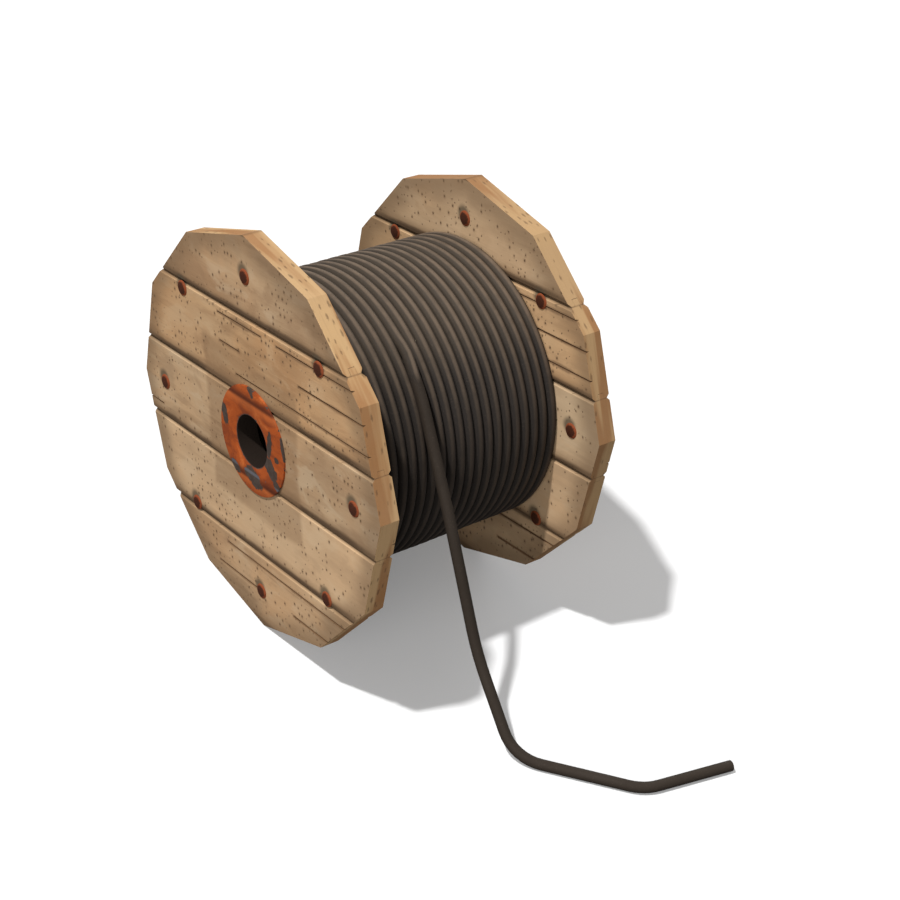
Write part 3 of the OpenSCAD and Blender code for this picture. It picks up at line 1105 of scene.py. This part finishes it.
class REEL_OT_stage(bpy.types.Operator):
    """Sets the pale floor, the studio light and the camera"""

    bl_idname = "reel.stage"
    bl_label = "Stage"

    LOOK_AT = Vector((0, -0.18768, 0.35417))
    AZIMUTH, ELEVATION, ROLL = radians(-43.805), radians(38.772), radians(11.635)
    DISTANCE, LENS = 2.59891, 72.80
    SUN_WAY = Vector((0.47, -0.143, -0.997))
    FILL_LEFT = Vector((-2.9, -1.8, 1.5))
    FILL_RIGHT = Vector((3.2, 1.4, 1.4))
    FILL_SIZE, RIGHT_SHARE = 2.0, 0.6
    FLOOR_SIZE, FLOOR_BOUNCE, FLOOR_GLOW = 30, 0.16, 0.178

    def execute(self, context):
        deselect()
        self.floor()
        self.light()
        self.camera()
        context.scene.view_settings.view_transform = "Standard"
        return {"FINISHED"}

    def floor(self):
        bpy.ops.mesh.primitive_plane_add(size=self.FLOOR_SIZE, location=(0, 0, 0))
        floor = bpy.context.object
        floor.name = floor.data.name = "studio_floor"
        material, s = new_material("studio_floor")
        seen = s.add("ShaderNodeLightPath").outputs["Is Camera Ray"]
        colour = s.mix(seen, (self.FLOOR_BOUNCE,) * 3, tuple(colours().floor))
        shader = s.surface(colour, 0.9, specular=0.1)
        s.put(shader.inputs["Emission Color"], (1, 1, 1, 1))
        s.put(shader.inputs["Emission Strength"], s.math("MULTIPLY", seen, self.FLOOR_GLOW))
        floor.data.materials.append(material)

    def light(self):
        scene = bpy.context.scene
        scene.world = bpy.data.worlds.new("studio_light")
        scene.world.use_nodes = True
        s = Shading(scene.world.node_tree)
        s.tree.nodes.clear()
        path = s.add("ShaderNodeLightPath")
        seen = s.math("MAXIMUM", path.outputs["Is Camera Ray"], path.outputs["Is Glossy Ray"])
        seen = s.math("MAXIMUM", seen, path.outputs["Is Transmission Ray"])
        back = s.add("ShaderNodeBackground")
        s.put(back.inputs["Color"], (1, 1, 1, 1))
        sky = sizes().sky_strength
        s.put(back.inputs["Strength"], s.math("MULTIPLY_ADD", seen, 1 - sky, sky))
        s.tree.links.new(back.outputs[0], s.add("ShaderNodeOutputWorld").inputs[0])
        bpy.ops.object.light_add(type="SUN", location=(-1.2, 0.4, 2.6))
        sun = bpy.context.object
        sun.name = "key_light"
        sun.rotation_euler = self.SUN_WAY.to_track_quat("-Z", "Y").to_euler()
        sun.data.energy = sizes().sun_strength
        sun.data.angle = sizes().sun_angle
        for name, place, power in (
            ("left_fill", self.FILL_LEFT, sizes().fill_power),
            ("right_fill", self.FILL_RIGHT, sizes().fill_power * self.RIGHT_SHARE),
        ):
            bpy.ops.object.light_add(type="AREA", location=place)
            fill = bpy.context.object
            fill.name = name
            fill.rotation_euler = (self.LOOK_AT - place).to_track_quat("-Z", "Y").to_euler()
            fill.data.energy = power
            fill.data.size = self.FILL_SIZE

    def camera(self):
        az, el = self.AZIMUTH, self.ELEVATION
        back = Vector((sin(az) * cos(el), -cos(az) * cos(el), sin(el)))
        level = Vector((0, 0, 1)).cross(back).normalized()
        upright = back.cross(level)
        right = level * cos(self.ROLL) + upright * sin(self.ROLL)
        up = back.cross(right)
        turn = Matrix((right, up, back)).transposed()
        bpy.ops.object.camera_add(location=self.LOOK_AT + back * self.DISTANCE, rotation=turn.to_euler())
        camera = bpy.context.object
        camera.data.lens = self.LENS
        camera.data.sensor_width = 36
        bpy.context.scene.camera = camera


OPERATORS = (
    REEL_OT_stage,
    REEL_OT_tail,
    REEL_OT_boards,
    REEL_OT_rivets,
    REEL_OT_bushes,
    REEL_OT_barrel,
    REEL_OT_winding,
)


class REEL_PT_panel(bpy.types.Panel):
    """Lists the reel's pieces"""

    bl_label = "Cable Reel"
    bl_idname = "REEL_PT_panel"
    bl_space_type = "VIEW_3D"
    bl_region_type = "UI"
    bl_category = "Reel"

    def draw(self, context):
        for group in (context.scene.reel_sizes, context.scene.reel_colours):
            for name in group.__annotations__:
                self.layout.prop(group, name)
        for operator in OPERATORS:
            self.layout.operator(operator.bl_idname)


CLASSES = (ReelSizes, ReelColours, *OPERATORS, REEL_PT_panel)


def register():
    for cls in CLASSES:
        bpy.utils.register_class(cls)
    bpy.types.Scene.reel_sizes = bpy.props.PointerProperty(type=ReelSizes)
    bpy.types.Scene.reel_colours = bpy.props.PointerProperty(type=ReelColours)


def unregister():
    del bpy.types.Scene.reel_colours
    del bpy.types.Scene.reel_sizes
    for cls in reversed(CLASSES):
        bpy.utils.unregister_class(cls)


def main():
    register()
    bpy.ops.reel.stage()
    bpy.ops.reel.tail()
    bpy.ops.reel.boards()
    bpy.ops.reel.rivets()
    bpy.ops.reel.bushes()
    bpy.ops.reel.barrel()
    bpy.ops.reel.winding()


if __name__ == "__main__":
    main()
